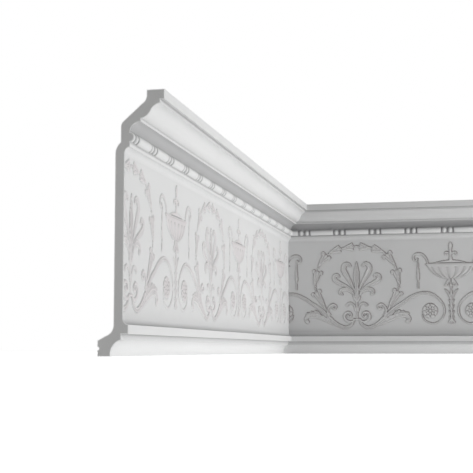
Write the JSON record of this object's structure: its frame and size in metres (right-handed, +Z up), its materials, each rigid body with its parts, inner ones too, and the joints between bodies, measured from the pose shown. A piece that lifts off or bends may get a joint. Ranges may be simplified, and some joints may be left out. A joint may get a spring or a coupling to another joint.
{
  "type": "inside corner cornice moulding",
  "caption": "Thin-walled frieze cornice turning an inside corner in mitred lengths, with a scroll, palmette and urn frieze under a bead row and cyma crown.",
  "frame": {"origin": "middle of the bounding box's underside, at the height of the moulding's foot", "axes": "+Z up to the ceiling; the long length runs along Y on the -X side, the short one along X at the +Y end; the room is at +X and -Y of them"},
  "size_m": [0.54, 1.036, 0.285],
  "materials": {
    "white_primer": "matte factory primer on dense moulded polyurethane, bare grey foam where it is sawn"
  },
  "bodies": {
    "root": {"left_length": "white_primer", "back_length": "white_primer"}
  },
  "joints": []
}
